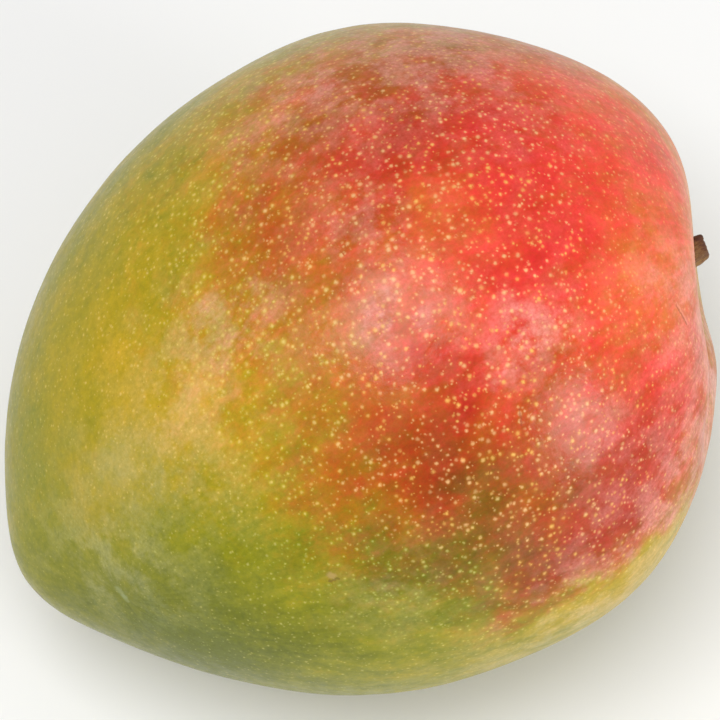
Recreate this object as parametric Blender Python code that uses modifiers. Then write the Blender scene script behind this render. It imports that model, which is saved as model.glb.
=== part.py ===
# A ripe mango resting on one cheek, with the short cut stub of its stem.
# Metres, +Z up. The origin is on the table, under the middle of the fruit's box.
# +X points towards the stem end, and +Y towards the fruit's back.

import math

import bmesh
import bpy
from mathutils import Euler, Matrix, Vector

MM = 0.001

# The fruit's own axes: X along its length to the stem end, Y from its belly to its back,
# and Z from its lower cheek to its upper one. These are its half sizes along them.
HALF_LENGTH = 59.5 * MM
HALF_BREADTH = 52.0 * MM
HALF_THICKNESS = 46.5 * MM

# The cheeks are fuller towards the stem end, by this share of the half thickness.
CHEEK_TAPER = 0.07
# The outline is fuller halfway to the stem end, and slimmer halfway to the beak.
EGG_SHIFT = 1.1 * MM

# Angles are in degrees. "Round" turns in the plane of the seed, from the length axis at
# the stem end towards the back, and "out" rises from that plane to the upper cheek.
STEM_ROUND = -14.0
STEM_TURN_START = -0.2

# Swellings and hollows of the skin: round, out, the angle over which it fades, height.
SWELLINGS = {
    "beak": (180.5, 0.0, 13.0, 4.2 * MM),
    "back hip": (161.0, 0.0, 15.0, 0.9 * MM),
    "waist": (-143.0, 0.0, 24.0, -2.1 * MM),
    "belly shoulder": (-71.0, -6.0, 19.0, 2.2 * MM),
    "belly slope": (-43.0, -17.0, 14.0, -1.0 * MM),
    "lower shoulder": (-27.0, -12.0, 9.0, 1.6 * MM),
    "upper shoulder": (-26.0, 11.0, 9.0, -0.8 * MM),
    "back shoulder": (10.0, 0.0, 16.0, 1.5 * MM),
    "back slope": (35.0, 12.0, 15.0, -0.6 * MM),
    "back bulge": (63.0, 9.0, 14.0, 1.0 * MM),
    "stem dip": (-20.0, -4.0, 16.0, -6.2 * MM),
    "stem cavity": (STEM_ROUND, 0.0, 6.5, -3.6 * MM),
}

# A shallow furrow runs from the stem cavity down the belly, along the plane of the seed.
FURROW_START = -14.0
FURROW_END = -46.0
FURROW_FADE_IN = 8.0
FURROW_FADE_OUT = 12.0
FURROW_MARGIN = 6.0
FURROW_HALF_WIDTH = 4.5
FURROW_DEPTH = 1.6 * MM

# At rest the stem end is up by this angle, and the middle of the fruit is this high,
# which leaves a flat spot about 19 by 16 mm under its weight.
REST_PITCH = 12.5
CENTRE_HEIGHT = 45.25 * MM

# The skin's mesh: meridians round the fruit, and rings from the stem to the beak.
MERIDIANS = 72
RINGS = 44

# The stem stub: woody, tapered, cut off askew, and sunk in a plain round socket. Its foot
# is in the socket, and its length is from the skin to the middle of the cut.
STEM_LEAN = -1.0
STEM_LENGTH = 7.6 * MM
STEM_FOOT_RADIUS = 3.0 * MM
STEM_CUT_RADIUS = 1.9 * MM
STEM_CUT_SLANT = 12.0
STEM_SIDES = 24
STEM_EDGE_ROUNDING = 0.2 * MM
SOCKET_DEPTH = 2.5 * MM
SOCKET_MOUTH = 4.0 * MM
GAP = 0.3 * MM

SKIN_COLOUR = (0.55, 0.22, 0.07, 1.0)
SKIN_ROUGHNESS = 0.42
WOOD_COLOUR = (0.16, 0.09, 0.045, 1.0)
WOOD_ROUGHNESS = 0.85


def clear_scene():
    for item in list(bpy.data.objects):
        bpy.data.objects.remove(item, do_unlink=True)


def make_collection(name):
    collection = bpy.data.collections.new(name)
    bpy.context.scene.collection.children.link(collection)
    return collection


def make_material(name, colour, roughness):
    material = bpy.data.materials.new(name)
    material.use_nodes = True
    shader = material.node_tree.nodes["Principled BSDF"]
    shader.inputs["Base Color"].default_value = colour
    shader.inputs["Roughness"].default_value = roughness
    shader.inputs["Metallic"].default_value = 0.0
    return material


def make_object(name, bm, collection, material=None):
    mesh = bpy.data.meshes.new(name)
    bm.to_mesh(mesh)
    bm.free()
    mesh.shade_smooth()
    if material is not None:
        mesh.materials.append(material)
    item = bpy.data.objects.new(name, mesh)
    collection.objects.link(item)
    return item


def ease(share):
    share = min(max(share, 0.0), 1.0)
    return share * share * (3.0 - 2.0 * share)


def direction_at(round_deg, out_deg):
    turn = math.radians(round_deg)
    rise = math.radians(out_deg)
    flat = math.cos(rise)
    return Vector((flat * math.cos(turn), flat * math.sin(turn), math.sin(rise)))


def furrow_depth(direction):
    round_deg = math.degrees(math.atan2(direction.y, direction.x))
    out_deg = math.degrees(math.asin(min(max(direction.z, -1.0), 1.0)))
    start = ease((FURROW_START + FURROW_MARGIN - round_deg) / FURROW_FADE_IN)
    end = ease((round_deg - FURROW_END + FURROW_MARGIN) / FURROW_FADE_OUT)
    return FURROW_DEPTH * math.exp(-((out_deg / FURROW_HALF_WIDTH) ** 2)) * start * end


def skin_radius(direction):
    # an ellipsoid with fuller cheeks at the stem end, then its swellings and its furrow
    thickness = HALF_THICKNESS * (1.0 + CHEEK_TAPER * direction.x)
    radius = 1.0 / math.sqrt(
        (direction.x / HALF_LENGTH) ** 2
        + (direction.y / HALF_BREADTH) ** 2
        + (direction.z / thickness) ** 2
    )
    from_stem = math.acos(min(max(direction.x, -1.0), 1.0))
    radius += EGG_SHIFT * math.sin(2.0 * from_stem)
    for round_deg, out_deg, fade, height in SWELLINGS.values():
        cosine = min(max(direction.dot(direction_at(round_deg, out_deg)), -1.0), 1.0)
        away = math.degrees(math.acos(cosine))
        radius += height * math.exp(-((away / fade) ** 2))
    return radius - furrow_depth(direction)


def skin_point(sphere_point):
    # the sphere's top pole turns to the stem and its bottom pole to the beak
    along = Vector((sphere_point.z, sphere_point.x, sphere_point.y)).normalized()
    share = ease((along.x - STEM_TURN_START) / (1.0 - STEM_TURN_START))
    turned = Matrix.Rotation(math.radians(STEM_ROUND) * share, 3, "Z") @ along
    return turned * skin_radius(turned)


def flatten_under(bm):
    # the table, seen from the fruit's own axes
    to_fruit = rest_rotation().to_matrix().inverted()
    down = to_fruit @ Vector((0.0, 0.0, -1.0))
    cut = bmesh.ops.bisect_plane(
        bm,
        geom=bm.verts[:] + bm.edges[:] + bm.faces[:],
        dist=1e-7,
        plane_co=down * CENTRE_HEIGHT,
        plane_no=down,
        clear_outer=True,
    )
    rim = [edge for edge in cut["geom_cut"] if isinstance(edge, bmesh.types.BMEdge)]
    bmesh.ops.edgeloop_fill(bm, edges=rim)


def rest_rotation():
    return Euler((0.0, math.radians(-REST_PITCH), 0.0))


def stem_place():
    # where the stem leaves the skin, with its own Z along the stem
    direction = direction_at(STEM_ROUND, 0.0)
    lean = Vector((0.0, 0.0, 1.0)).rotation_difference(direction_at(STEM_LEAN, 0.0))
    return Matrix.LocRotScale(direction * skin_radius(direction), lean, None)


def make_fruit(collection, cutters, holder):
    bm = bmesh.new()
    bmesh.ops.create_uvsphere(bm, u_segments=MERIDIANS, v_segments=RINGS, radius=1.0)
    for vertex in bm.verts:
        vertex.co = skin_point(vertex.co)
    flatten_under(bm)
    bmesh.ops.recalc_face_normals(bm, faces=bm.faces[:])
    skin = make_material("mango skin", SKIN_COLOUR, SKIN_ROUGHNESS)
    fruit = make_object("fruit", bm, collection, skin)
    fruit.parent = holder

    socket = make_socket_cutter(cutters, holder)
    cut = fruit.modifiers.new("stem socket", "BOOLEAN")
    cut.operation = "DIFFERENCE"
    cut.object = socket
    return fruit


def make_socket_cutter(cutters, holder):
    depth = SOCKET_DEPTH + SOCKET_MOUTH
    middle = (SOCKET_MOUTH - SOCKET_DEPTH) / 2.0
    bm = bmesh.new()
    bmesh.ops.create_cone(
        bm,
        cap_ends=True,
        segments=STEM_SIDES,
        radius1=STEM_FOOT_RADIUS + GAP,
        radius2=STEM_FOOT_RADIUS + GAP,
        depth=depth,
        matrix=Matrix.Translation((0.0, 0.0, middle)),
    )
    socket = make_object("stem_socket_cutter", bm, cutters)
    place_on_fruit(socket, holder)
    socket.hide_render = True
    socket.display_type = "WIRE"
    return socket


def make_stem(collection, holder):
    # the cone is made too long, then cut off askew
    spare = STEM_CUT_RADIUS
    foot = SOCKET_DEPTH - GAP
    depth = foot + STEM_LENGTH + spare
    taper = (STEM_FOOT_RADIUS - STEM_CUT_RADIUS) / (foot + STEM_LENGTH)
    bm = bmesh.new()
    bmesh.ops.create_cone(
        bm,
        cap_ends=True,
        segments=STEM_SIDES,
        radius1=STEM_FOOT_RADIUS,
        radius2=STEM_CUT_RADIUS - taper * spare,
        depth=depth,
        matrix=Matrix.Translation((0.0, 0.0, depth / 2.0 - foot)),
    )
    # the fruit's belly side of the stub is the short one
    to_belly = stem_place().to_3x3().inverted() @ Vector((0.0, -1.0, 0.0))
    slant = math.radians(STEM_CUT_SLANT)
    normal = Vector((0.0, 0.0, 1.0)) * math.cos(slant) + to_belly.normalized() * math.sin(slant)
    cut = bmesh.ops.bisect_plane(
        bm,
        geom=bm.verts[:] + bm.edges[:] + bm.faces[:],
        dist=1e-7,
        plane_co=(0.0, 0.0, STEM_LENGTH),
        plane_no=normal,
        clear_outer=True,
    )
    rim = [edge for edge in cut["geom_cut"] if isinstance(edge, bmesh.types.BMEdge)]
    bmesh.ops.edgeloop_fill(bm, edges=rim)
    bmesh.ops.recalc_face_normals(bm, faces=bm.faces[:])
    wood = make_material("stem wood", WOOD_COLOUR, WOOD_ROUGHNESS)
    stem = make_object("stem", bm, collection, wood)
    place_on_fruit(stem, holder)

    edge = stem.modifiers.new("worn edge", "BEVEL")
    edge.width = STEM_EDGE_ROUNDING
    edge.segments = 2
    edge.limit_method = "ANGLE"
    edge.angle_limit = math.radians(50.0)
    return stem


def place_on_fruit(item, holder):
    place = stem_place()
    item.parent = holder
    item.location = place.to_translation()
    item.rotation_euler = place.to_euler()


def stand_on_origin(holder, fruit):
    # the table is at zero, and the middle of the fruit's box is over the origin
    holder.location.z = CENTRE_HEIGHT
    bpy.context.view_layer.update()
    points = [fruit.matrix_world @ vertex.co for vertex in fruit.data.vertices]
    for axis in (0, 1):
        low = min(point[axis] for point in points)
        high = max(point[axis] for point in points)
        holder.location[axis] -= (low + high) / 2.0
    bpy.context.view_layer.update()


def main():
    clear_scene()
    mango = make_collection("mango")
    cutters = make_collection("cutters")
    holder = bpy.data.objects.new("resting_attitude", None)
    holder.rotation_euler = rest_rotation()
    mango.objects.link(holder)

    fruit = make_fruit(mango, cutters, holder)
    make_stem(mango, holder)
    stand_on_origin(holder, fruit)


main()
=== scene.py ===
import math

import bmesh
import bpy
import numpy as np
from mathutils import Euler, Matrix, Vector, noise


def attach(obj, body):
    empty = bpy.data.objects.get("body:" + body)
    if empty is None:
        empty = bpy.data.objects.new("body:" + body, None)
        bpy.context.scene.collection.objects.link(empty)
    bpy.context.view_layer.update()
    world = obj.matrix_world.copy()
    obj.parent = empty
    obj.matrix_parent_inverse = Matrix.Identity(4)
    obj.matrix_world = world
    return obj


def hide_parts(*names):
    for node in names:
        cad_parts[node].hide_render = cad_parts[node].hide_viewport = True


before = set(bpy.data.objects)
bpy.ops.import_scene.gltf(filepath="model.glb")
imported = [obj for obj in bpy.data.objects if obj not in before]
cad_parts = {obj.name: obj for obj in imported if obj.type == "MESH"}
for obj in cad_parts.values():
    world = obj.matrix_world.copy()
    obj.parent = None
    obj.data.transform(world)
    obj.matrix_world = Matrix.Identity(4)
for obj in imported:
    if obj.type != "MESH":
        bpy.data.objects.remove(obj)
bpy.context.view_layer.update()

mm = 0.001

# Fruit axes: X to the stem end, Y from belly to back, Z from the lower cheek to the upper.
# "round" is degrees from X towards Y, and "out" is degrees up from there to the upper cheek.
# Lengths are in millimetres and angles in degrees, where nothing else is said.
mango = {
    "halfLength": 59.5,
    "halfBreadth": 52.0,
    "halfThickness": 46.5,
    "cheekTaper": 0.07,
    "eggShift": 1.1,
    "stemRound": -14.0,
    "stemTurnStart": -0.2,
    "pitch": 12.5,
    "centre": (1.324, 0.624, 45.25),
    "meridians": 320,
    "rings": 280,
    "floorSoftness": 0.3,
    # round, out, the angle over which it fades, and its height in millimetres
    "beak": (180.5, 0.0, 13.0, 4.2),
    "backHip": (161.0, 0.0, 15.0, 0.9),
    "waist": (-143.0, 0.0, 24.0, -2.1),
    "bellyShoulder": (-71.0, -6.0, 19.0, 2.2),
    "bellySlope": (-43.0, -17.0, 14.0, -1.0),
    "lowerShoulder": (-27.0, -12.0, 9.0, 1.6),
    "upperShoulder": (-26.0, 11.0, 9.0, -0.8),
    "backShoulder": (10.0, 0.0, 16.0, 1.5),
    "backSlope": (35.0, 12.0, 15.0, -0.6),
    "backBulge": (63.0, 9.0, 14.0, 1.0),
    "stemDip": (-20.0, -4.0, 16.0, -6.2),
    "stemCavity": (-14.0, 0.0, 6.5, -3.6),
    # the furrow down the belly fades in and out between these turns round the fruit
    "furrowFadeIn": (-8.0, -16.0),
    "furrowFadeOut": (-40.0, -52.0),
    "furrowDepth": 1.6,
    "furrowHalfWidth": 4.5,
    "waveHeight": 0.12,
    "waveLength": 12.0,
    "waveSeed": 3.0,
    "rippleHeight": 0.035,
    "rippleLength": 4.0,
    "rippleSeed": 8.0,
}
swellings = (
    "beak",
    "backHip",
    "waist",
    "bellyShoulder",
    "bellySlope",
    "lowerShoulder",
    "upperShoulder",
    "backShoulder",
    "backSlope",
    "backBulge",
    "stemDip",
    "stemCavity",
)


def directionAt(roundDeg, outDeg):
    turn = math.radians(roundDeg)
    rise = math.radians(outDeg)
    flat = math.cos(rise)
    return np.array((flat * math.cos(turn), flat * math.sin(turn), math.sin(rise)))


def easeFrom(value, low, high):
    # 0 up to low, 1 from high on, and smooth between them
    share = np.clip((value - low) / (high - low), 0.0, 1.0)
    return share * share * (3.0 - 2.0 * share)


def furrowAt(directions):
    roundDeg = np.degrees(np.arctan2(directions[:, 1], directions[:, 0]))
    outDeg = np.degrees(np.arcsin(np.clip(directions[:, 2], -1.0, 1.0)))
    near, deep = mango["furrowFadeIn"]
    shallow, far = mango["furrowFadeOut"]
    ends = easeFrom(roundDeg, near, deep) * easeFrom(roundDeg, far, shallow)
    across = np.exp(-((outDeg / mango["furrowHalfWidth"]) ** 2))
    return mango["furrowDepth"] * across * ends


def skinRadius(directions):
    # the same form as the CAD solid: an ellipsoid, its swellings and its furrow
    along = directions[:, 0]
    thickness = mango["halfThickness"] * (1.0 + mango["cheekTaper"] * along)
    radius = 1.0 / np.sqrt(
        (along / mango["halfLength"]) ** 2
        + (directions[:, 1] / mango["halfBreadth"]) ** 2
        + (directions[:, 2] / thickness) ** 2
    )
    radius += mango["eggShift"] * np.sin(2.0 * np.arccos(np.clip(along, -1.0, 1.0)))
    for name in swellings:
        roundDeg, outDeg, fade, height = mango[name]
        cosine = np.clip(directions @ directionAt(roundDeg, outDeg), -1.0, 1.0)
        radius += height * np.exp(-((np.degrees(np.arccos(cosine)) / fade) ** 2))
    return radius - furrowAt(directions)


def turnAboutZ(points, degrees):
    turn = np.radians(degrees)
    x = points[:, 0] * np.cos(turn) - points[:, 1] * np.sin(turn)
    y = points[:, 0] * np.sin(turn) + points[:, 1] * np.cos(turn)
    return np.stack((x, y, points[:, 2]), axis=1)


def smoothNoise(points, size, seed):
    offset = Vector((seed, -seed, 0.5 * seed))
    values = [noise.noise(Vector(point) / size + offset) for point in points]
    return np.array(values)


fruitTurn = Euler((0.0, math.radians(-mango["pitch"]), 0.0)).to_matrix()


def toPartFrame(points):
    # from fruit axes in millimetres to the part's frame in metres
    return (points @ np.array(fruitTurn).T + np.array(mango["centre"])) * mm


def linkPiece(name, bm, material):
    mesh = bpy.data.meshes.new(name)
    bm.to_mesh(mesh)
    bm.free()
    mesh.shade_smooth()
    mesh.materials.append(material)
    piece = bpy.data.objects.new(name, mesh)
    bpy.context.scene.collection.objects.link(piece)
    return piece


def makeMangoSkin(material):
    bm = bmesh.new()
    bmesh.ops.create_uvsphere(
        bm,
        u_segments=mango["meridians"],
        v_segments=mango["rings"],
        radius=1.0,
    )
    bm.verts.ensure_lookup_table()
    sphere = np.array([vert.co[:] for vert in bm.verts])
    # the top pole turns to the stem and the bottom pole to the beak
    along = sphere[:, (2, 0, 1)]
    along /= np.linalg.norm(along, axis=1)[:, None]
    share = easeFrom(along[:, 0], mango["stemTurnStart"], 1.0)
    directions = turnAboutZ(along, mango["stemRound"] * share)
    radius = skinRadius(directions)
    points = directions * radius[:, None]
    for kind in ("wave", "ripple"):
        uneven = smoothNoise(points, mango[kind + "Length"], mango[kind + "Seed"])
        radius += mango[kind + "Height"] * uneven
    points = toPartFrame(directions * radius[:, None])
    # the skin gives a little where it rests on the floor
    soft = mango["floorSoftness"] * mm
    height = points[:, 2]
    points[:, 2] = 0.5 * (height + np.sqrt(height**2 + soft**2))
    for vert, point in zip(bm.verts, points):
        vert.co = point
    bmesh.ops.recalc_face_normals(bm, faces=bm.faces)
    return linkPiece("mangoSkin", bm, material)


def plainMaterial(name, colour, roughness):
    material = bpy.data.materials.new(name)
    material.use_nodes = True
    shader = material.node_tree.nodes["Principled BSDF"]
    shader.inputs["Base Color"].default_value = (*colour, 1.0)
    shader.inputs["Roughness"].default_value = roughness
    return material


stem = {
    # the way out of the skin and the way it points, each as round and out
    "place": (-14.0, 0.0),
    "lean": (-1.0, 0.0),
    "length": 7.6,
    "cutSlant": 12.0,
    "sides": 72,
    "footHeight": -1.6,
    "footRadius": 2.4,
    # height above the skin and radius, up to the rim and then inwards over the cut
    "profile": (
        (-0.8, 2.9),
        (-0.3, 3.05),
        (0.2, 3.1),
        (0.6, 3.0),
        (1.0, 2.8),
        (1.5, 2.66),
        (2.0, 2.58),
        (2.5, 2.52),
        (3.0, 2.46),
        (3.5, 2.4),
        (4.0, 2.34),
        (4.5, 2.28),
        (5.0, 2.24),
        (5.5, 2.2),
        (6.0, 2.16),
        (6.5, 2.1),
        (7.0, 2.0),
        (7.3, 1.9),
        (7.5, 1.74),
        (7.58, 1.52),
        (7.52, 1.3),
        (7.44, 1.0),
        (7.48, 0.7),
        (7.58, 0.45),
        (7.5, 0.22),
    ),
    # how many ridges, where they start, and their height as a share of the radius
    "ridges": ((5.0, 0.4, 0.05), (9.0, 2.1, 0.03), (17.0, 0.9, 0.018)),
    "ridgeTwist": 0.02,
    "knobble": 0.056,
    "knobbleWaves": 0.9,
    "knobbleSeed": (4.0, 1.0, 2.0),
    # the rough cut is the top share of the length
    "cutStart": 0.9,
    "cutRoughness": 0.16,
    "cutWaves": 2.6,
}
toBelly = Vector((0.0, -1.0, 0.0))


def stemPlace():
    # the stub's own Z runs along it, from where it leaves the skin
    foot = directionAt(*stem["place"])
    base = foot * skinRadius(foot[None, :])[0]
    along = Vector(directionAt(*stem["lean"]))
    lean = Vector((0.0, 0.0, 1.0)).rotation_difference(along)
    return Vector(base), lean.to_matrix()


def ridgedRadius(turn, height):
    # long ridges that twist a little on their way up
    share = 1.0
    for count, start, depth in stem["ridges"]:
        share += depth * math.sin(count * (turn + stem["ridgeTwist"] * height) + start)
    return share


def stubRings(bm):
    # rings of points round the stub's own Z, closed with one face at the cut
    ring = bmesh.ops.create_circle(bm, cap_ends=False, segments=stem["sides"], radius=1.0)
    edges = bm.edges[:]
    rings = [(ring["verts"], stem["footHeight"], stem["footRadius"])]
    for height, radius in stem["profile"]:
        grown = bmesh.ops.extrude_edge_only(bm, edges=edges)["geom"]
        verts = [item for item in grown if isinstance(item, bmesh.types.BMVert)]
        edges = [item for item in grown if isinstance(item, bmesh.types.BMEdge)]
        edges = [edge for edge in edges if all(vert in verts for vert in edge.verts)]
        rings.append((verts, height, radius))
    bmesh.ops.contextual_create(bm, geom=edges)
    for verts, height, radius in rings:
        bmesh.ops.scale(bm, vec=(radius, radius, 1.0), verts=verts)
        bmesh.ops.translate(bm, vec=(0.0, 0.0, height), verts=verts)


def makeStemStub(material):
    base, lean = stemPlace()
    bellySide = lean.transposed() @ toBelly
    slant = math.tan(math.radians(stem["cutSlant"]))
    top = stem["length"]
    bm = bmesh.new()
    stubRings(bm)
    for vert in bm.verts:
        point = vert.co.copy()
        height = point.z
        share = ridgedRadius(math.atan2(point.y, point.x), height)
        lump = noise.noise(point * stem["knobbleWaves"] + Vector(stem["knobbleSeed"]))
        share += stem["knobble"] * lump
        point.x *= share
        point.y *= share
        climb = min(max(height / top, 0.0), 1.0)
        point.z -= slant * climb * point.dot(bellySide)
        if height > stem["cutStart"] * top:
            point.z += stem["cutRoughness"] * noise.noise(point * stem["cutWaves"])
        vert.co = point
    place = Matrix.Translation(base) @ lean.to_4x4()
    bmesh.ops.transform(bm, matrix=place, verts=bm.verts)
    points = toPartFrame(np.array([vert.co[:] for vert in bm.verts]))
    for vert, point in zip(bm.verts, points):
        vert.co = point
    bmesh.ops.recalc_face_normals(bm, faces=bm.faces)
    return linkPiece("stemStub", bm, material)


# Noises of the materials: the width of their blotches, in the unit of the vector they are
# used on, then their detail and roughness.
noises = {
    "sway": (14.0, 5.0, 0.6),
    "flowDrift": (0.14, 2.0, 0.5),
    "blotch": (4.0, 5.0, 0.65),
    "streak": (0.6, 4.0, 0.65),
    "mottle": (1.3, 3.0, 0.7),
    "cloud": (8.0, 5.0, 0.6),
    "filmAndHighlight": (6.0, 6.0, 0.65),
    "powder": (0.6, 2.0, 0.6),
    "raggedPores": (0.5, 1.0, 0.5),
    "goldenPores": (5.0, 3.0, 0.5),
    "grain": (0.6, 3.0, 0.7),
    "frayedScars": (0.5, 2.0, 0.5),
    "gloss": (2.5, 3.0, 0.6),
    "relief": (2.2, 4.0, 0.6),
    "woodFibres": (0.3, 5.0, 0.7),
    "woodPatches": (1.5, 4.0, 0.6),
    "woodGrains": (0.16, 2.0, 0.6),
    "cutRings": (0.8, 4.0, 0.7),
}


# Small helpers for the materials' nodes.
def newNode(tree, kind, inputs, **settings):
    node = tree.nodes.new(kind)
    for name, value in settings.items():
        setattr(node, name, value)
    for socket, value in inputs.items():
        if isinstance(value, bpy.types.NodeSocket):
            tree.links.new(value, node.inputs[socket])
        else:
            node.inputs[socket].default_value = value
    return node


def calculate(tree, operation, *values, clamp=False):
    inputs = dict(enumerate(values))
    node = newNode(tree, "ShaderNodeMath", inputs, operation=operation, use_clamp=clamp)
    return node.outputs[0]


def vectors(tree, operation, *values, output=0):
    node = newNode(tree, "ShaderNodeVectorMath", dict(enumerate(values)), operation=operation)
    return node.outputs[output]


def scaled(tree, vector, amount):
    node = newNode(tree, "ShaderNodeVectorMath", {0: vector, "Scale": amount}, operation="SCALE")
    return node.outputs[0]


def ranged(tree, value, fromLow, fromHigh, toLow=0.0, toHigh=1.0, smooth=True):
    inputs = {0: value, 1: fromLow, 2: fromHigh, 3: toLow, 4: toHigh}
    kind = "SMOOTHSTEP" if smooth else "LINEAR"
    return newNode(tree, "ShaderNodeMapRange", inputs, interpolation_type=kind).outputs[0]


def noiseOf(tree, vector, name, colour=False):
    size, detail, roughness = noises[name]
    inputs = {
        "Vector": vector,
        "Scale": 1.0 / size,
        "Detail": detail,
        "Roughness": roughness,
    }
    node = newNode(tree, "ShaderNodeTexNoise", inputs)
    return node.outputs["Color" if colour else "Fac"]


def swingOf(tree, vector, name, amount):
    # a noise between -amount and +amount
    value = noiseOf(tree, vector, name)
    return calculate(tree, "MULTIPLY_ADD", value, 2.0 * amount, -amount)


def shifted(tree, vector, name, source, amount):
    # a vector moved along each axis by a noise between 0 and amount, drawn from source
    shift = noiseOf(tree, source, name, colour=True)
    return vectors(tree, "MULTIPLY_ADD", shift, (amount, amount, amount), vector)


def swayed(tree, vector, name, source, amount):
    # the same between -amount and +amount
    moved = shifted(tree, vector, name, source, 2.0 * amount)
    return vectors(tree, "SUBTRACT", moved, (amount, amount, amount))


def colourMix(tree, share, first, second, blend="MIX"):
    # a colour is a socket or three numbers
    first, second = (
        colour if isinstance(colour, bpy.types.NodeSocket) else (*colour, 1.0)
        for colour in (first, second)
    )
    inputs = {"Factor": share, 6: first, 7: second}
    settings = {"data_type": "RGBA", "blend_type": blend}
    return newNode(tree, "ShaderNodeMix", inputs, **settings).outputs[2]


def colourRamp(tree, value, stops):
    node = newNode(tree, "ShaderNodeValToRGB", {"Fac": value})
    elements = node.color_ramp.elements
    while len(elements) < len(stops):
        elements.new(0.5)
    for element, (place, colour) in zip(elements, stops):
        element.position = place
        element.color = (*colour, 1.0)
    return node.outputs["Color"]


def patchField(tree, direction, name):
    # a field of the skin's look: its base value and soft round patches on the fruit
    total = skinLook[name]
    for roundDeg, outDeg, fade, amount in skinLook[name + "Patches"].values():
        sharpness = 2.0 / math.radians(fade) ** 2
        centre = tuple(directionAt(roundDeg, outDeg))
        cosine = vectors(tree, "DOT_PRODUCT", direction, centre, output="Value")
        fall = calculate(tree, "MULTIPLY_ADD", cosine, sharpness, -sharpness)
        share = calculate(tree, "EXPONENT", fall)
        total = calculate(tree, "MULTIPLY_ADD", share, amount, total)
    return total


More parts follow.
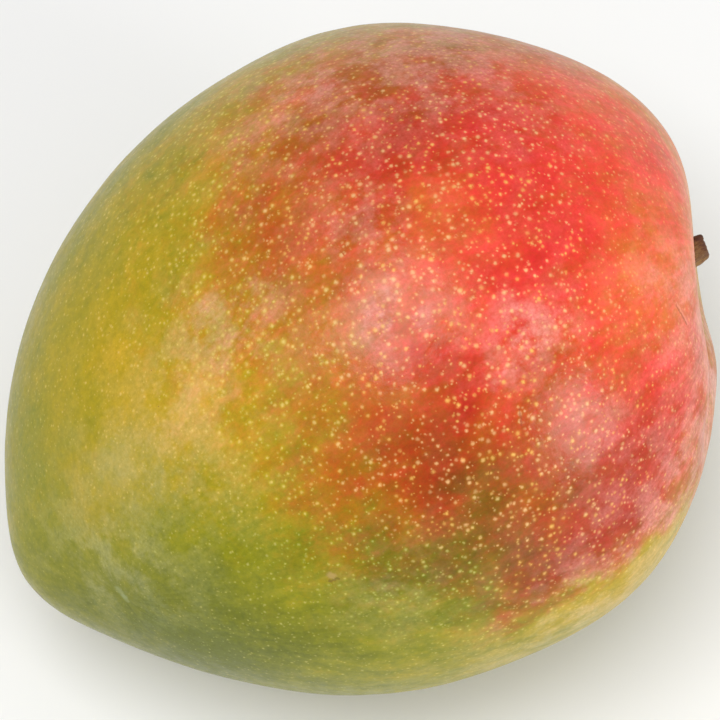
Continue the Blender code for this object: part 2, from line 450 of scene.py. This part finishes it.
skinLook = {
    # patches are round, out, the angle over which they fade, and the amount they add
    # ripeness goes from 0, deep green, to 1, salmon yellow
    "ripeness": 0.30,
    "ripenessPatches": {
        "stemShoulder": (-16.0, 32.0, 48.0, 0.62),
        "cheekTop": (-50.0, 72.0, 28.0, 0.12),
        "yellowCheek": (176.0, 56.0, 25.0, 0.27),
        "greenHip": (-148.0, 10.0, 28.0, -0.32),
        "oliveBelly": (-83.0, 33.0, 15.0, -0.2),
        "backEdge": (85.0, 66.0, 22.0, 0.08),
        "paleBackEdge": (80.0, 46.0, 14.0, 0.12),
        "paleStemEdge": (8.0, 26.0, 14.0, 0.12),
        "oliveFoot": (-105.0, 29.0, 13.0, -0.17),
        "oliveCheek": (-126.0, 54.0, 9.0, -0.12),
        "oliveSide": (154.0, 58.0, 7.0, -0.12),
        "beakSide": (-172.0, 25.0, 8.0, 0.1),
        "tanCheek": (-149.0, 60.0, 8.0, 0.14),
        "goldenBelly": (-116.0, 52.0, 14.0, 0.10),
        "bellyRim": (-72.0, 2.0, 13.0, 0.12),
    },
    # blush is the red over that, from 0, none, to 1, crimson
    "blush": -0.04,
    "blushPatches": {
        "backShoulder": (2.0, 42.0, 35.0, 0.92),
        "bellyCheek": (-70.0, 54.0, 28.0, 0.62),
        "bellyShoulder": (-58.0, 18.0, 21.0, 0.66),
        "backCheek": (62.0, 64.0, 24.0, 0.36),
        "salmonByStem": (-25.0, 30.0, 9.0, -0.1),
        "towardsBeak": (-100.0, 46.0, 18.0, 0.18),
        "tanFoot": (-88.0, 27.0, 10.0, 0.07),
        "bellyEdge": (-82.0, 12.0, 12.0, 0.30),
        "bellyRim": (-80.0, -12.0, 16.0, -1.1),
        "farLobe": (-32.0, -6.0, 20.0, 0.42),
        "faintCheek": (177.0, 71.0, 13.0, 0.13),
        "crimsonTop": (13.0, 60.0, 19.0, 0.25),
        "redTop": (80.0, 80.0, 12.0, 0.3),
        "redSpot": (24.0, 67.0, 6.0, 0.12),
        "goldenTop": (60.0, 76.0, 7.0, -0.2),
        "orangeTop": (-6.0, 63.0, 7.0, -0.34),
        "redShoulder": (-30.0, 50.0, 11.0, 0.2),
        "stemShoulder": (-4.0, 20.0, 10.0, 0.2),
        "bellyLobe": (-44.0, 19.0, 9.0, 0.3),
        "crimsonBelly": (-70.0, 56.0, 7.0, 0.35),
        "redBelly": (-96.0, 48.0, 9.0, 0.3),
        "redRim": (-66.0, 17.0, 12.0, 0.34),
        "redFoot": (-82.0, 14.0, 9.0, 0.24),
        "yellowShoulder": (98.0, 62.0, 10.0, -0.18),
    },
    # bloom is the pale waxy film on top, and some of its patches are painted highlights
    "bloomAndPaintedHighlight": 0.015,
    "bloomAndPaintedHighlightPatches": {
        # the next two patches are painted highlights, pale pink where the softboxes' reflections
        # lie on the upper cheek
        "paintedHighlightCheek": (-46.0, 50.0, 8.0, 0.27),
        "paintedHighlightHighCheek": (-60.0, 70.0, 7.0, 0.28),
        "pinkTop": (10.0, 77.0, 8.0, 0.12),
        "tanCheek": (176.0, 71.0, 12.0, 0.24),
        "tanBeakSide": (-165.0, 52.0, 14.0, 0.16),
        "paleBeak": (-165.0, 24.0, 14.0, 0.2),
        "paleBack": (35.0, 36.0, 20.0, 0.18),
        "dustyBack": (70.0, 50.0, 18.0, 0.15),
        "paleBelly": (-60.0, 8.0, 15.0, 0.17),
        # the next patch is a painted highlight, pale where the right softbox's reflection lies on
        # the belly shoulder
        "paintedHighlightShoulder": (-60.0, 33.0, 7.0, 0.1),
        "paleFurrow": (-28.0, 19.0, 11.0, 0.12),
        "paleWaist": (-110.0, 26.0, 10.0, 0.10),
        "paleRim": (-84.0, -4.0, 16.0, 0.24),
        "farLobe": (-32.0, -6.0, 20.0, 0.34),
    },
    # pores: how large and how clear they are
    "pores": 0.5,
    "poresPatches": {
        "cheekTop": (0.0, 72.0, 44.0, 0.5),
        "bellyCheek": (-74.0, 42.0, 22.0, 0.22),
        "byStem": (-22.0, 27.0, 12.0, -0.42),
        "bellyShoulder": (-76.0, 18.0, 16.0, 0.34),
        "bellyRim": (-82.0, -12.0, 14.0, -0.3),
        "beak": (-168.0, 14.0, 22.0, -0.22),
    },
    # pores have a least size, and grow with their field
    "leastPore": 0.2,
    "poreGrowth": 0.8,
    "poreRaggedness": 0.3,
    "poreCover": 0.95,
    # what a pore's halo takes from the blush and adds to the ripeness
    "haloOnBlush": -0.22,
    "haloOnRipeness": 0.08,
    # cell is the width of the cells that hold a dot each, reach is how far from the skin a
    # cell's point may lie, and small and large are the dots' radii
    "poreLayers": (
        {"cell": 1.5, "reach": 0.45, "small": 0.34, "large": 0.58, "strength": 0.95},
        {"cell": 1.1, "reach": 0.34, "small": 0.18, "large": 0.4, "strength": 0.65},
    ),
    "speckLayer": {"cell": 1.4, "reach": 0.35, "small": 0.1, "large": 0.2, "strength": 0.85},
    # a dot is whole up to this share of its reach, and the faintest has this strength
    "wholeDot": 0.7,
    "faintDot": 0.4,
    "groundStops": (
        (0.0, (0.13, 0.15, 0.002)),
        (0.25, (0.25, 0.245, 0.003)),
        (0.45, (0.40, 0.30, 0.004)),
        (0.6, (0.50, 0.33, 0.008)),
        (0.8, (0.72, 0.40, 0.035)),
        (1.0, (0.90, 0.46, 0.08)),
    ),
    # what the blush lets through, over its full range of 0 to 1.3
    "blushRange": 1.3,
    "blushStops": (
        (0.0, (1.0, 1.0, 1.0)),
        (0.2, (0.98, 0.60, 0.75)),
        (0.4, (0.95, 0.36, 0.60)),
        (0.6, (0.93, 0.20, 0.50)),
        (0.8, (0.92, 0.10, 0.42)),
        (1.0, (0.80, 0.05, 0.33)),
    ),
    "bloomAndPaintedHighlightStops": (
        (0.0, (0.38, 0.42, 0.22)),
        (0.35, (0.56, 0.48, 0.22)),
        (0.7, (0.70, 0.45, 0.22)),
        (1.0, (0.80, 0.50, 0.30)),
    ),
    "bloomAndPaintedHighlightOnRed": (0.85, 0.44, 0.37),
    "poreOnRed": (0.84, 0.50, 0.22),
    "poreOnOrange": (0.82, 0.47, 0.08),
    "poreOnYellow": (0.78, 0.58, 0.16),
    "poreOnGreen": (0.58, 0.54, 0.16),
    "speckColour": (0.16, 0.08, 0.03),
    # the skin's flow lines run from the stem to the old flower's scar near the beak
    "flowerScar": (-161.0, 16.0),
    "flowStretch": 2.4,
    "flowTurns": 7.0,
    "flowDrift": 1.1,
    # how strongly the noises move the fields and the colour
    "sway": 0.2,
    "blotchOnBlush": 0.4,
    "streakOnBlush": 0.26,
    "mottleOnBlush": 0.2,
    "streakOnRipeness": 0.22,
    "mottleOnRipeness": 0.11,
    "cloudOnRipeness": 0.18,
    "streakOnFilm": 1.3,
    "thinnestFilm": 0.1,
    "grainOnShade": 0.18,
    "mottleOnShade": 0.12,
    "streakOnShade": 0.16,
    "scarFraying": 0.006,
    "wholeScar": 0.3,
    # ranges are what goes in, from low to high, and what comes out
    "flowFadeRange": (1.4, 1.85, 1.0, 0.35),
    "unevenRange": (-0.05, 0.4, 0.3, 1.0),
    "filmRange": (0.4, 0.6, 0.25, 1.65),
    "powderRange": (0.3, 0.7, 0.8, 1.2),
    "clearPoreRange": (0.1, 0.9, 0.25, 1.0),
    "coreRange": (0.05, 1.0, 1.0, 0.0),
    "haloRange": (0.5, 1.9, 1.0, 0.0),
    "rednessRange": (0.05, 0.55, 0.0, 1.0),
    "yellownessRange": (0.2, 0.55, 0.0, 1.0),
    "goldenRange": (0.48, 0.6, 0.0, 0.8),
    "speckRange": (0.0, 0.35, 0.0, 1.0),
    "roughnessRange": (0.3, 0.7, 0.36, 0.5),
    "gloss": 0.05,
    "coat": 0.36,
    "coatRoughness": 0.2,
    "poreRelief": 0.2,
    "bumpStrength": 0.6,
    "bumpDistance": 0.00015,
}

# Small marks on the skin: a line from one direction to another, its half width in
# degrees, its colour, and how much of the skin it covers.
scars = {
    "stemScratch": ((-30.5, 23.2), (-32.6, 19.8), 0.26, (0.42, 0.10, 0.05), 0.7),
    "scratchLip": ((-30.0, 23.0), (-32.4, 19.4), 0.35, (0.86, 0.42, 0.30), 0.25),
    "corkySpot": ((-120.0, 33.0), (-120.4, 33.2), 1.0, (0.44, 0.30, 0.10), 0.75),
    "corkyRim": ((-120.8, 32.0), (-119.0, 32.4), 0.35, (0.16, 0.10, 0.02), 0.55),
    "flowerScarTop": ((-162.4, 17.4), (-161.2, 16.6), 0.9, (0.34, 0.39, 0.18), 0.4),
    "flowerScarFoot": ((-161.2, 16.6), (-160.4, 15.8), 0.6, (0.34, 0.39, 0.18), 0.4),
    "beakDot": ((-176.0, 1.5), (-176.6, 1.5), 0.5, (0.10, 0.05, 0.03), 0.8),
    "cheekScuff": ((-64.0, 45.0), (-66.5, 43.0), 0.22, (0.30, 0.06, 0.03), 0.5),
    "backScuff": ((96.0, 12.0), (101.0, 9.0), 0.3, (0.30, 0.20, 0.07), 0.6),
    "backSpot": ((130.0, -8.0), (130.6, -8.4), 0.7, (0.34, 0.24, 0.08), 0.6),
    "lowerScuff": ((-120.0, -24.0), (-125.0, -27.0), 0.35, (0.30, 0.24, 0.08), 0.6),
}


def fruitCoordinates(tree):
    coordinates = tree.nodes.new("ShaderNodeTexCoord")
    inputs = {
        "Vector": coordinates.outputs["Object"],
        "Location": tuple(Vector(mango["centre"]) * mm),
        "Rotation": (0.0, math.radians(-mango["pitch"]), 0.0),
        "Scale": (mm, mm, mm),
    }
    point = newNode(tree, "ShaderNodeMapping", inputs, vector_type="TEXTURE").outputs[0]
    partPoint = scaled(tree, coordinates.outputs["Object"], 1.0 / mm)
    return point, partPoint, coordinates.outputs["Normal"]


def flowCoordinates(tree, direction):
    # X runs from the stem to the flower scar, and Y and Z go round the line between them
    start = Vector(directionAt(*stem["place"]))
    end = Vector(directionAt(*skinLook["flowerScar"]))
    turn = Vector((1.0, 0.0, 0.0)).rotation_difference(end - start).to_euler()
    inputs = {"Vector": direction, "Location": tuple(start), "Rotation": tuple(turn)}
    placed = newNode(tree, "ShaderNodeMapping", inputs, vector_type="TEXTURE").outputs[0]
    across = vectors(tree, "NORMALIZE", vectors(tree, "MULTIPLY", placed, (0.0, 1.0, 1.0)))
    stretch = (skinLook["flowStretch"], 0.0, 0.0)
    turns = scaled(tree, across, skinLook["flowTurns"])
    flow = vectors(tree, "MULTIPLY_ADD", placed, stretch, turns)
    flow = shifted(tree, flow, "flowDrift", direction, skinLook["flowDrift"])
    # the streaks weaken before they crowd together at the flower scar
    along = newNode(tree, "ShaderNodeSeparateXYZ", {0: placed}).outputs[0]
    return flow, ranged(tree, along, *skinLook["flowFadeRange"])


def dotLayer(tree, point, normal, layer, size):
    # round flat dots where the cells' own points lie close under or over the skin
    inputs = {"Vector": point, "Scale": 1.0 / layer["cell"], "Randomness": 1.0}
    cells = newNode(tree, "ShaderNodeTexVoronoi", inputs)
    offset = vectors(tree, "SUBTRACT", point, cells.outputs["Position"])
    height = vectors(tree, "DOT_PRODUCT", offset, normal, output="Value")
    flat = vectors(tree, "SUBTRACT", offset, scaled(tree, normal, height))
    away = vectors(tree, "LENGTH", flat, output="Value")
    chance = newNode(tree, "ShaderNodeSeparateColor", {0: cells.outputs["Color"]})
    sizeChance, strengthChance = chance.outputs[0], chance.outputs[1]
    radius = ranged(tree, sizeChance, 0.0, 1.0, layer["small"], layer["large"], smooth=False)
    radius = calculate(tree, "MULTIPLY", radius, size)
    whole, reach = skinLook["wholeDot"] * layer["reach"], layer["reach"]
    near = ranged(tree, calculate(tree, "ABSOLUTE", height), whole, reach, 1.0, 0.0)
    faint, strong = skinLook["faintDot"] * layer["strength"], layer["strength"]
    strength = ranged(tree, strengthChance, 0.0, 1.0, faint, strong, smooth=False)
    near = calculate(tree, "MULTIPLY", near, strength)
    share = calculate(tree, "DIVIDE", away, radius)
    core = ranged(tree, share, *skinLook["coreRange"])
    halo = ranged(tree, share, *skinLook["haloRange"])
    return [calculate(tree, "MULTIPLY", mask, near) for mask in (core, halo)]


def scarShare(tree, direction, start, end, halfWidth):
    # 1 on the line between two directions, fading to 0 at its half width
    first = Vector(directionAt(*start))
    along = Vector(directionAt(*end)) - first
    offset = vectors(tree, "SUBTRACT", direction, tuple(first))
    pull = tuple(along / along.length_squared)
    share = vectors(tree, "DOT_PRODUCT", offset, pull, output="Value")
    share = calculate(tree, "ADD", share, 0.0, clamp=True)
    away = vectors(tree, "DISTANCE", offset, scaled(tree, tuple(along), share), output="Value")
    width = math.radians(halfWidth)
    return ranged(tree, away, skinLook["wholeScar"] * width, width, 1.0, 0.0)


def skinFields(tree, point, partPoint, direction):
    # ripeness, blush, bloom with its painted highlights, and pores over the whole skin, with
    # uneven edges, and the two noises that the shade of the colour follows as well
    look = skinLook
    moved = vectors(tree, "NORMALIZE", swayed(tree, direction, "sway", point, look["sway"]))
    ripeness, blush, bloomAndPaintedHighlight = [
        patchField(tree, moved, name) for name in ("ripeness", "blush", "bloomAndPaintedHighlight")
    ]
    pores = patchField(tree, direction, "pores")

    flow, flowShare = flowCoordinates(tree, direction)
    streak = calculate(tree, "MULTIPLY", swingOf(tree, flow, "streak", 1.0), flowShare)
    mottle = swingOf(tree, partPoint, "mottle", 1.0)

    ripeness = calculate(tree, "MULTIPLY_ADD", streak, look["streakOnRipeness"], ripeness)
    ripeness = calculate(tree, "MULTIPLY_ADD", mottle, look["mottleOnRipeness"], ripeness)
    cloud = swingOf(tree, partPoint, "cloud", look["cloudOnRipeness"])
    ripeness = calculate(tree, "ADD", ripeness, cloud)

    uneven = swingOf(tree, point, "blotch", look["blotchOnBlush"])
    uneven = calculate(tree, "MULTIPLY_ADD", streak, look["streakOnBlush"], uneven)
    uneven = calculate(tree, "MULTIPLY_ADD", mottle, look["mottleOnBlush"], uneven)
    reddened = ranged(tree, blush, *look["unevenRange"])
    blush = calculate(tree, "MULTIPLY_ADD", uneven, reddened, blush)

    filmAndHighlight = ranged(tree, noiseOf(tree, point, "filmAndHighlight"), *look["filmRange"])
    filmAndHighlight = calculate(tree, "MULTIPLY_ADD", streak, look["streakOnFilm"], filmAndHighlight)
    filmAndHighlight = calculate(tree, "MAXIMUM", filmAndHighlight, look["thinnestFilm"])
    powder = ranged(tree, noiseOf(tree, partPoint, "powder"), *look["powderRange"])
    filmAndHighlight = calculate(tree, "MULTIPLY", filmAndHighlight, powder)
    bloomAndPaintedHighlight = calculate(tree, "MULTIPLY", bloomAndPaintedHighlight, filmAndHighlight, clamp=True)
    return ripeness, blush, bloomAndPaintedHighlight, pores, mottle, streak


def poreMasks(tree, ragged, normal, pores):
    # a core and a wider halo round each pore
    look = skinLook
    size = calculate(tree, "MULTIPLY_ADD", pores, look["poreGrowth"], look["leastPore"])
    clear = ranged(tree, pores, *look["clearPoreRange"], smooth=False)
    layers = [dotLayer(tree, ragged, normal, layer, size) for layer in look["poreLayers"]]
    masks = [calculate(tree, "MAXIMUM", *masks) for masks in zip(*layers)]
    return [calculate(tree, "MULTIPLY", mask, clear) for mask in masks]


def poreColouring(tree, point, ripeness, redness):
    look = skinLook
    yellowness = ranged(tree, ripeness, *look["yellownessRange"])
    colour = colourMix(tree, yellowness, look["poreOnGreen"], look["poreOnYellow"])
    colour = colourMix(tree, redness, colour, look["poreOnRed"])
    golden = ranged(tree, noiseOf(tree, point, "goldenPores"), *look["goldenRange"])
    golden = calculate(tree, "MULTIPLY", golden, redness)
    return colourMix(tree, golden, colour, look["poreOnOrange"])


def groundColouring(tree, ripeness, blush, bloomAndPaintedHighlight, redness):
    # the ripe ground seen through the blush, under the bloom and its painted highlights
    look = skinLook
    ground = colourRamp(tree, ripeness, look["groundStops"])
    share = calculate(tree, "DIVIDE", blush, look["blushRange"], clamp=True)
    colour = colourMix(tree, 1.0, ground, colourRamp(tree, share, look["blushStops"]), "MULTIPLY")
    filmAndHighlight = colourRamp(tree, ripeness, look["bloomAndPaintedHighlightStops"])
    filmAndHighlight = colourMix(tree, redness, filmAndHighlight, look["bloomAndPaintedHighlightOnRed"])
    return colourMix(tree, bloomAndPaintedHighlight, colour, filmAndHighlight)


def shadeOf(tree, partPoint, mottle, streak):
    # lighter and darker specks, spots and streaks, round 1
    grain = swingOf(tree, partPoint, "grain", skinLook["grainOnShade"])
    shade = calculate(tree, "ADD", grain, 1.0)
    shade = calculate(tree, "MULTIPLY_ADD", mottle, skinLook["mottleOnShade"], shade)
    return calculate(tree, "MULTIPLY_ADD", streak, skinLook["streakOnShade"], shade)


def scarred(tree, colour, direction, point):
    frayed = swayed(tree, direction, "frayedScars", point, skinLook["scarFraying"])
    for start, end, halfWidth, tint, cover in scars.values():
        mark = scarShare(tree, frayed, start, end, halfWidth)
        colour = colourMix(tree, calculate(tree, "MULTIPLY", mark, cover), colour, tint)
    return colour


def roughen(tree, shader, height, strength, distance, sockets):
    inputs = {"Height": height, "Strength": strength, "Distance": distance}
    bump = newNode(tree, "ShaderNodeBump", inputs)
    for socket in sockets:
        tree.links.new(bump.outputs[0], shader.inputs[socket])


def makeSkinMaterial():
    look = skinLook
    material = bpy.data.materials.new("mangoSkinMaterial")
    material.use_nodes = True
    tree = material.node_tree
    shader = tree.nodes["Principled BSDF"]
    point, partPoint, normal = fruitCoordinates(tree)
    direction = vectors(tree, "NORMALIZE", point)
    fields = skinFields(tree, point, partPoint, direction)
    ripeness, blush, bloomAndPaintedHighlight, pores, mottle, streak = fields

    # the blush is thinner in the halo of a pore, round its pale core
    ragged = shifted(tree, partPoint, "raggedPores", partPoint, look["poreRaggedness"])
    core, halo = poreMasks(tree, ragged, normal, pores)
    blush = calculate(tree, "MULTIPLY_ADD", halo, look["haloOnBlush"], blush)
    ripeness = calculate(tree, "MULTIPLY_ADD", halo, look["haloOnRipeness"], ripeness)
    redness = ranged(tree, blush, *look["rednessRange"])
    colour = groundColouring(tree, ripeness, blush, bloomAndPaintedHighlight, redness)
    cover = calculate(tree, "MULTIPLY", core, look["poreCover"])
    colour = colourMix(tree, cover, colour, poreColouring(tree, point, ripeness, redness))

    specks = dotLayer(tree, ragged, normal, look["speckLayer"], 1.0)[0]
    specks = calculate(tree, "MULTIPLY", specks, ranged(tree, mottle, *look["speckRange"]))
    colour = colourMix(tree, specks, colour, look["speckColour"])
    colour = scaled(tree, colour, shadeOf(tree, partPoint, mottle, streak))
    colour = scarred(tree, colour, direction, point)
    tree.links.new(colour, shader.inputs["Base Color"])

    rough = ranged(tree, noiseOf(tree, partPoint, "gloss"), *look["roughnessRange"])
    tree.links.new(rough, shader.inputs["Roughness"])
    shader.inputs["Specular IOR Level"].default_value = look["gloss"]
    shader.inputs["Coat Weight"].default_value = look["coat"]
    shader.inputs["Coat Roughness"].default_value = look["coatRoughness"]

    relief = noiseOf(tree, partPoint, "relief")
    relief = calculate(tree, "MULTIPLY_ADD", core, look["poreRelief"], relief)
    sockets = ("Normal", "Coat Normal")
    roughen(tree, shader, relief, look["bumpStrength"], look["bumpDistance"], sockets)
    return material


woodLook = {
    "stops": (
        (0.0, (0.055, 0.014, 0.006)),
        (0.3, (0.16, 0.066, 0.020)),
        (0.62, (0.28, 0.165, 0.055)),
    ),
    "cutDark": (0.055, 0.014, 0.006),
    "cutBrown": (0.19, 0.08, 0.035),
    # how far the cut's own colour reaches down from the top, and how much it covers
    "cutReach": (1.4, 0.3),
    "cutCover": 0.5,
    "ringSpread": 0.8,
    # the shade at the skin and at the cut, and what the noises and the belly side add
    "shadeAtSkin": 0.72,
    "shadeAtCut": 0.1,
    "skinHeight": 1.0,
    "bellySide": 0.08,
    "fibres": 0.9,
    "patches": 0.5,
    "grains": 0.2,
    "fibreLength": 0.2,
    "roughness": 0.75,
    "bumpStrength": 0.8,
    "bumpDistance": 0.0002,
}


def woodShade(tree, point, height, fibres, bellySide):
    # paler towards the fruit and on the belly side
    look = woodLook
    ends = (look["skinHeight"], stem["length"], look["shadeAtSkin"], look["shadeAtCut"])
    shade = ranged(tree, height, *ends, smooth=False)
    side = vectors(tree, "DOT_PRODUCT", point, tuple(bellySide), output="Value")
    shade = calculate(tree, "MULTIPLY_ADD", side, look["bellySide"], shade)
    swings = (
        calculate(tree, "MULTIPLY_ADD", fibres, 2.0 * look["fibres"], -look["fibres"]),
        swingOf(tree, point, "woodPatches", look["patches"]),
        swingOf(tree, point, "woodGrains", look["grains"]),
    )
    for swing in swings:
        shade = calculate(tree, "ADD", shade, swing)
    return shade


def cutColouring(tree, point):
    # rough rings round the middle of the cut
    across = vectors(tree, "MULTIPLY", point, (1.0, 1.0, 0.0))
    away = vectors(tree, "LENGTH", across, output="Value")
    spread = calculate(tree, "MULTIPLY", away, woodLook["ringSpread"])
    rings = noiseOf(tree, scaled(tree, point, spread), "cutRings")
    return colourMix(tree, rings, woodLook["cutDark"], woodLook["cutBrown"])


def makeWoodMaterial():
    look = woodLook
    material = bpy.data.materials.new("stemWoodMaterial")
    material.use_nodes = True
    tree = material.node_tree
    shader = tree.nodes["Principled BSDF"]
    base, lean = stemPlace()
    coordinates = tree.nodes.new("ShaderNodeTexCoord")
    inputs = {
        "Vector": coordinates.outputs["Object"],
        "Location": tuple((fruitTurn @ base + Vector(mango["centre"])) * mm),
        "Rotation": tuple((fruitTurn @ lean).to_euler()),
        "Scale": (mm, mm, mm),
    }
    point = newNode(tree, "ShaderNodeMapping", inputs, vector_type="TEXTURE").outputs[0]
    height = newNode(tree, "ShaderNodeSeparateXYZ", {0: point}).outputs[2]
    along = vectors(tree, "MULTIPLY", point, (1.0, 1.0, look["fibreLength"]))
    fibres = noiseOf(tree, along, "woodFibres")
    shade = woodShade(tree, point, height, fibres, lean.transposed() @ toBelly)
    colour = colourRamp(tree, shade, look["stops"])
    start, full = (stem["length"] - depth for depth in look["cutReach"])
    cover = calculate(tree, "MULTIPLY", ranged(tree, height, start, full), look["cutCover"])
    colour = colourMix(tree, cover, colour, cutColouring(tree, point))
    tree.links.new(colour, shader.inputs["Base Color"])
    shader.inputs["Roughness"].default_value = look["roughness"]
    roughen(tree, shader, fibres, look["bumpStrength"], look["bumpDistance"], ("Normal",))
    return material


mangoSkin = makeMangoSkin(makeSkinMaterial())
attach(mangoSkin, "root")
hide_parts("fruit")
print("mango skin made")

stemStub = makeStemStub(makeWoodMaterial())
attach(stemStub, "root")
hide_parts("stem")
print("stem stub made")


studio = {
    "worldStrength": 0.55,
    "floorColour": (0.9, 0.9, 0.9),
    "floorRoughness": 0.7,
    "floorSize": 6.0,
    # azimuth, elevation, distance in metres, width, height, watts
    "topSoftbox": (-67.0, 77.0, 1.3, 0.7, 0.7, 9.0),
    "rightSoftbox": (28.0, 18.5, 1.3, 0.42, 0.66, 6.0),
    "leftSoftbox": (-102.0, 0.0, 1.3, 0.4, 0.6, 2.2),
}
view = {
    "azimuth": -29.25,
    "elevation": 65.0,
    "distance": 650.0,
    "lens": 204.75,
    "sensor": 36.0,
    # metres
    "clipStart": 0.05,
    "clipEnd": 50.0,
    # how far the fruit's centre stands from the middle of the frame
    "fruitRight": 1.11,
    "fruitDown": 1.43,
}


def viewAxes(azimuth, elevation):
    # right, up and towards the viewer, for someone who looks at the fruit
    turn = math.radians(azimuth)
    rise = math.radians(elevation)
    flat = math.cos(rise)
    back = Vector((math.sin(turn) * flat, -math.cos(turn) * flat, math.sin(rise)))
    right = Vector((math.cos(turn), math.sin(turn), 0.0))
    return right, back.cross(right), back


def makeCamera():
    right, up, back = viewAxes(view["azimuth"], view["elevation"])
    data = bpy.data.cameras.new("studioCamera")
    data.lens = view["lens"]
    data.sensor_width = view["sensor"]
    data.clip_start = view["clipStart"]
    data.clip_end = view["clipEnd"]
    camera = bpy.data.objects.new("studioCamera", data)
    bpy.context.scene.collection.objects.link(camera)
    place = Vector(mango["centre"]) + back * view["distance"]
    place += up * view["fruitDown"] - right * view["fruitRight"]
    camera.matrix_world = Matrix.Translation(place * mm) @ Matrix(
        (
            (right.x, up.x, back.x, 0.0),
            (right.y, up.y, back.y, 0.0),
            (right.z, up.z, back.z, 0.0),
            (0.0, 0.0, 0.0, 1.0),
        )
    )
    bpy.context.scene.camera = camera


def makeSoftbox(name):
    azimuth, elevation, distance, width, height, watts = studio[name]
    back = viewAxes(azimuth, elevation)[2]
    data = bpy.data.lights.new(name, "AREA")
    data.shape = "RECTANGLE"
    data.size = width
    data.size_y = height
    data.energy = watts
    softbox = bpy.data.objects.new(name, data)
    bpy.context.scene.collection.objects.link(softbox)
    softbox.location = Vector(mango["centre"]) * mm + back * distance
    softbox.rotation_euler = (-back).to_track_quat("-Z", "Y").to_euler()
    softbox.visible_camera = False


def makeFloor():
    bm = bmesh.new()
    bmesh.ops.create_grid(bm, x_segments=1, y_segments=1, size=studio["floorSize"] / 2.0)
    material = plainMaterial("floorMaterial", studio["floorColour"], studio["floorRoughness"])
    floor = linkPiece("studioFloor", bm, material)


def makeWorld():
    world = bpy.data.worlds.new("studioWorld")
    world.use_nodes = True
    background = world.node_tree.nodes["Background"]
    background.inputs["Color"].default_value = (1.0, 1.0, 1.0, 1.0)
    background.inputs["Strength"].default_value = studio["worldStrength"]
    bpy.context.scene.world = world


makeWorld()
makeFloor()
makeCamera()
for name in ("topSoftbox", "rightSoftbox", "leftSoftbox"):
    makeSoftbox(name)
bpy.context.scene.view_settings.view_transform = "Standard"
print("studio made")
